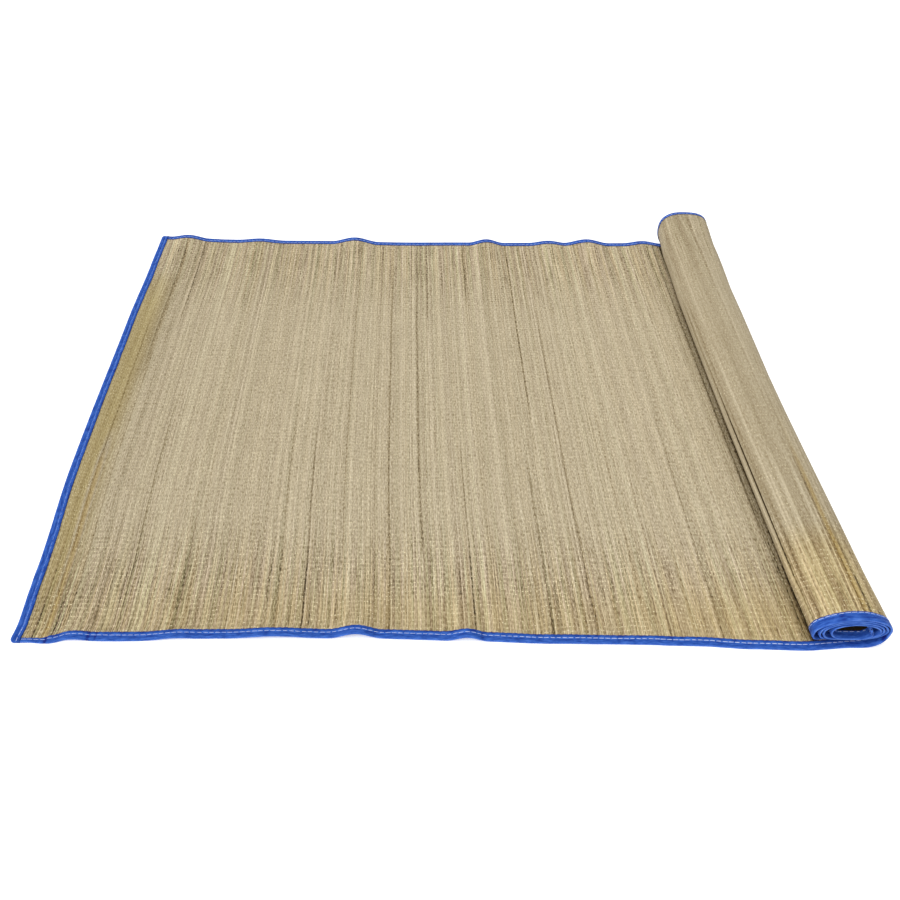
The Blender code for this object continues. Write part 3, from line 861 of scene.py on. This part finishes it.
start_edge, start_inner, *start_pinch = end_edge([0.0, STRIP], OPEN_END_STEP)
open_end_tape, open_end_seam = folded_tape(
    "open_end_tape", start_edge, start_inner, END_LIP, END_SEAM, up=-1, seed=63.1, pinched=start_pinch
)
last_edge, last_inner, *last_pinch = end_edge([LENGTH, LENGTH - STRIP], ROLLED_END_STEP)
rolled_end_tape, rolled_end_seam = folded_tape(
    "rolled_end_tape", last_edge, last_inner, END_LIP, END_SEAM, up=1, seed=80.5, pinched=last_pinch
)

# Woven cotton tape, vat dyed royal blue: a close matt weave, uneven in depth from the dye. It is
# paler along the fold and at the seam, and darker beside the seam and towards the lip's edge: partly
# rubbed wear and partly painted highlight and painted shade of the folded, puckered cloth. Painted
# shade darkens it in the creases. Its threads are drawn 0.7 mm apart, about twice the real spacing,
# to show at all.
TAPE_THREAD = 0.0007
# Patches where the dye took unevenly, by the metre along the tape and over it
PATCHES_ALONG = 90.0
PATCHES_OVER = 420.0
DYE_UNEVENNESS = 0.7
# How much painted shade darkens the cloth in the creases
PAINTED_CREASE_DARKENING = -0.28
PATCH_RELIEF = 0.8
WEAVE_RELIEF = 0.25
tape_material, tree, shader = new_material("dyed cotton tape")
split = add("SeparateXYZ", add("UVMap", uv_map="woven"))
run_at, over_at = split.outputs["X"], split.outputs["Y"]
patch_run = add("Math", run_at, PATCHES_ALONG, operation="MULTIPLY")
patch_over = add("Math", over_at, PATCHES_OVER, operation="MULTIPLY")
feeds = {"Vector": add("CombineXYZ", patch_run, patch_over), "Scale": 1.0, "Detail": 4.0, "Roughness": 0.6}
patch = add("TexNoise", feeds, noise_dimensions="2D")
strip_here = add("Attribute", attribute_name="strip").outputs["Fac"]
# Across the tape: paler at the fold and the seam, darker beside the seam and at the lip's edge, partly
# rubbed wear and partly painted highlight and painted shade
rubbed_and_painted_light = add("ValToRGB", add("Math", strip_here, 0.5, operation="MULTIPLY"), stops=(
    (0.00, "#b4b4b4"), (0.03, "#a0a0a0"), (0.08, "#888888"), (0.36, "#747474"),
    (0.47, "#a0a0a0"), (0.60, "#8c8c8c"), (0.80, "#747474"), (1.00, "#5c5c5c"),
))
tape_tone = add("Math", patch, 0.5, operation="SUBTRACT")
tape_tone = add("Math", tape_tone, DYE_UNEVENNESS, add("SeparateColor", rubbed_and_painted_light), operation="MULTIPLY_ADD")
# Painted shade in the creases
painted_crease_shade_here = add("Attribute", attribute_name="stain").outputs["Fac"]
tape_tone = add("Math", painted_crease_shade_here, PAINTED_CREASE_DARKENING, tape_tone, operation="MULTIPLY_ADD")
tape_colour = add("ValToRGB", tape_tone, stops=(
    (0.0, "#12247a"), (0.14, "#1d4598"), (0.27, "#2e59af"), (0.42, "#436ec3"), (0.75, "#7398e0"),
))
warp = add("Math", add("Math", over_at, 2 * math.pi / TAPE_THREAD, operation="MULTIPLY"), operation="SINE")
weft = add("Math", add("Math", run_at, 2 * math.pi / TAPE_THREAD, operation="MULTIPLY"), operation="SINE")
cloth = add("Math", warp, weft, operation="MULTIPLY")
tree.links.new(tape_colour.outputs[0], shader.inputs["Base Color"])
shader.inputs["Roughness"].default_value = 0.7
shader.inputs["Specular IOR Level"].default_value = 0.15
shader.inputs["Sheen Weight"].default_value = 0.04
shader.inputs["Sheen Roughness"].default_value = 0.4
relief = add("Math", cloth, WEAVE_RELIEF, operation="MULTIPLY")
relief = add("Math", patch, PATCH_RELIEF, relief, operation="MULTIPLY_ADD")
bump = add("Bump", {"Height": relief, "Strength": 0.5, "Distance": 0.0003})
tree.links.new(bump.outputs[0], shader.inputs["Normal"])
for tape, node in (
    (front_tape, "front_binding"), (back_tape, "back_binding"),
    (open_end_tape, "open_end_binding"), (rolled_end_tape, "rolled_end_binding"),
):
    tape.data.materials.append(tape_material)
    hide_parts(node)
    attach(tape, "root")

# The sewing: one row of white lockstitch through each tape, seen on both faces. Each stitch is a
# short pull of cotton thread that dips into the tape at either end.
STITCH_LENGTH = 0.0062
STITCH_WIDTH = 0.00075
STITCH_HEIGHT = 0.00036
STITCH_SHIFT = 0.0004
STITCH_SLANT = 0.00015
STITCH_SIZES = (0.88, 1.08)
STITCH_STAND = 0.00004
STITCH_FACETS = 6
END_FULLNESS = 0.6
# How thick the thread stands out of the tape, by metres along it: on the open end it is drawn deep
FRONT_THREAD = ((0.0, 0.85), (0.45, 0.9), (0.78, 1.3), (0.95, 1.25), (1.05, 1.0), (1.80, 1.0))
BACK_THREAD = ((0.0, 0.9), (1.80, 0.9))
OPEN_END_THREAD = ((0.0, 1.0), (0.016, 0.9), (0.030, 0.25), (0.90, 0.25))
ROLLED_END_THREAD = ((0.0, 1.0), (0.90, 1.0))
# White cotton sewing thread: soft, matt and a little fluffy, tinged pale blue
stitch_material, tree, shader = new_material("white sewing thread")
fluff = add("TexNoise", {"Vector": add("TexCoord").outputs["Object"], "Scale": 900.0, "Detail": 2.0})
stitch_colour = add("ValToRGB", fluff, stops=((0.3, "#9fb2dc"), (0.7, "#d9e0f2")))
tree.links.new(stitch_colour.outputs[0], shader.inputs["Base Color"])
shader.inputs["Roughness"].default_value = 0.6
bump = add("Bump", {"Height": fluff, "Strength": 0.3, "Distance": 0.0002})
tree.links.new(bump.outputs[0], shader.inputs["Normal"])


def sew(name, seam, thread):
    """The stitches of one tape, as one mesh, as thick as a table of places along it says."""
    run, tangent, inward, normal, lines = seam
    bm = bmesh.new()
    for side, line in lines:
        for place in np.arange(STITCH_PITCH / 2, run[-1], STITCH_PITCH):
            place += rng.uniform(-STITCH_SHIFT, STITCH_SHIFT)
            middle, along, beside, above = (
                Vector([np.interp(place, run, values[:, axis]) for axis in range(3)])
                for values in (line, tangent, inward, normal)
            )
            half_length = STITCH_LENGTH / 2 * rng.uniform(*STITCH_SIZES)
            thickness = float(eased(thread, place))
            along = along.normalized() * half_length + beside * rng.uniform(-STITCH_SLANT, STITCH_SLANT)
            above = above.normalized() * side
            middle = middle + above * (TAPE_THICKNESS / 2 + STITCH_STAND)
            facets = {"u_segments": STITCH_FACETS, "v_segments": STITCH_FACETS}
            stitch = bmesh.ops.create_uvsphere(bm, radius=1.0, **facets)["verts"]
            for vert in stitch:
                vert.co.z = math.copysign(abs(vert.co.z) ** END_FULLNESS, vert.co.z)
            beside = beside.normalized() * (STITCH_WIDTH / 2 * thickness)
            turned = Matrix((beside, above * (STITCH_HEIGHT / 2 * thickness), along)).transposed()
            bmesh.ops.transform(bm, matrix=Matrix.Translation(middle) @ turned.to_4x4(), verts=stitch)
    bmesh.ops.recalc_face_normals(bm, faces=bm.faces)
    mesh = bpy.data.meshes.new(name)
    bm.to_mesh(mesh)
    bm.free()
    mesh.shade_smooth()
    mesh.materials.append(stitch_material)
    stitches = placed(name, mesh)
    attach(stitches, "root")
    return stitches


seams = [
    sew("front_stitches", front_seam, FRONT_THREAD),
    sew("back_stitches", back_seam, BACK_THREAD),
    sew("open_end_stitches", open_end_seam, OPEN_END_THREAD),
    sew("rolled_end_stitches", rolled_end_seam, ROLLED_END_THREAD),
]

# The studio: a plain pale sweep that glows a little, as a lit one does, soft light from all
# round, and one large soft lamp above the front of the mat and to its left.
FLOOR_SIZE = 12.0
FLOOR_GLOW = 0.35
SURROUNDING_LIGHT = 0.44
LAMP_FROM = Vector((-0.80, -0.55, 1.7))
LAMP_WIDTH = math.radians(60)
LAMP_STRENGTH = 2.75
WHITE = (1.0, 1.0, 1.0, 1.0)
bm = bmesh.new()
bmesh.ops.create_grid(bm, x_segments=1, y_segments=1, size=FLOOR_SIZE)
floor_mesh = bpy.data.meshes.new("floor")
bm.to_mesh(floor_mesh)
bm.free()
floor = placed("floor", floor_mesh)
floor_material, tree, shader = new_material("lit white sweep")
shader.inputs["Base Color"].default_value = linear("#f7f7f7")
shader.inputs["Roughness"].default_value = 0.9
shader.inputs["Emission Color"].default_value = WHITE
shader.inputs["Emission Strength"].default_value = FLOOR_GLOW
floor_mesh.materials.append(floor_material)

world = bpy.data.worlds.new("soft studio")
world.use_nodes = True
world.node_tree.nodes["Background"].inputs["Color"].default_value = WHITE
world.node_tree.nodes["Background"].inputs["Strength"].default_value = SURROUNDING_LIGHT
bpy.context.scene.world = world
bpy.context.scene.view_settings.view_transform = "Standard"

lamp_data = bpy.data.lights.new("overhead softbox", "SUN")
lamp_data.angle = LAMP_WIDTH
lamp_data.energy = LAMP_STRENGTH
lamp = bpy.data.objects.new("overhead softbox", lamp_data)
lamp.location = LAMP_FROM
lamp.rotation_mode = "QUATERNION"
lamp.rotation_quaternion = (-LAMP_FROM).to_track_quat("-Z", "Y")
bpy.context.scene.collection.objects.link(lamp)

# The camera stands where the photograph's stood, worked out from the mat's edges. Its picture
# centre is left of the middle, because the photograph is a part of a wider one.
CAMERA_PLACE = Vector((0.434, -0.607, 0.881)) + Vector(LIES_AT)
PITCH, YAW, ROLL = (math.radians(angle) for angle in (43.42, 0.8, 1.19))
PICTURE_CENTRE = (400.5, 451.3)
PICTURE_SIZE = 900
FILM_WIDTH = 36.0
LENS = 36.0
forward = Vector((math.sin(YAW) * math.cos(PITCH), math.cos(YAW) * math.cos(PITCH), -math.sin(PITCH)))
right = forward.cross(Vector((0, 0, 1))).normalized()
upward = right.cross(forward)
right, upward = (
    math.cos(ROLL) * right + math.sin(ROLL) * upward,
    -math.sin(ROLL) * right + math.cos(ROLL) * upward,
)
camera_data = bpy.data.cameras.new("camera")
camera_data.sensor_width = FILM_WIDTH
camera_data.lens = LENS
camera_data.shift_x = (PICTURE_SIZE / 2 - PICTURE_CENTRE[0]) / PICTURE_SIZE
camera_data.shift_y = (PICTURE_CENTRE[1] - PICTURE_SIZE / 2) / PICTURE_SIZE
camera = bpy.data.objects.new("camera", camera_data)
camera.rotation_mode = "QUATERNION"
camera.location = CAMERA_PLACE
camera.rotation_quaternion = Matrix((right, upward, -forward)).transposed().to_quaternion()
bpy.context.scene.collection.objects.link(camera)
bpy.context.scene.camera = camera

bpy.context.view_layer.update()
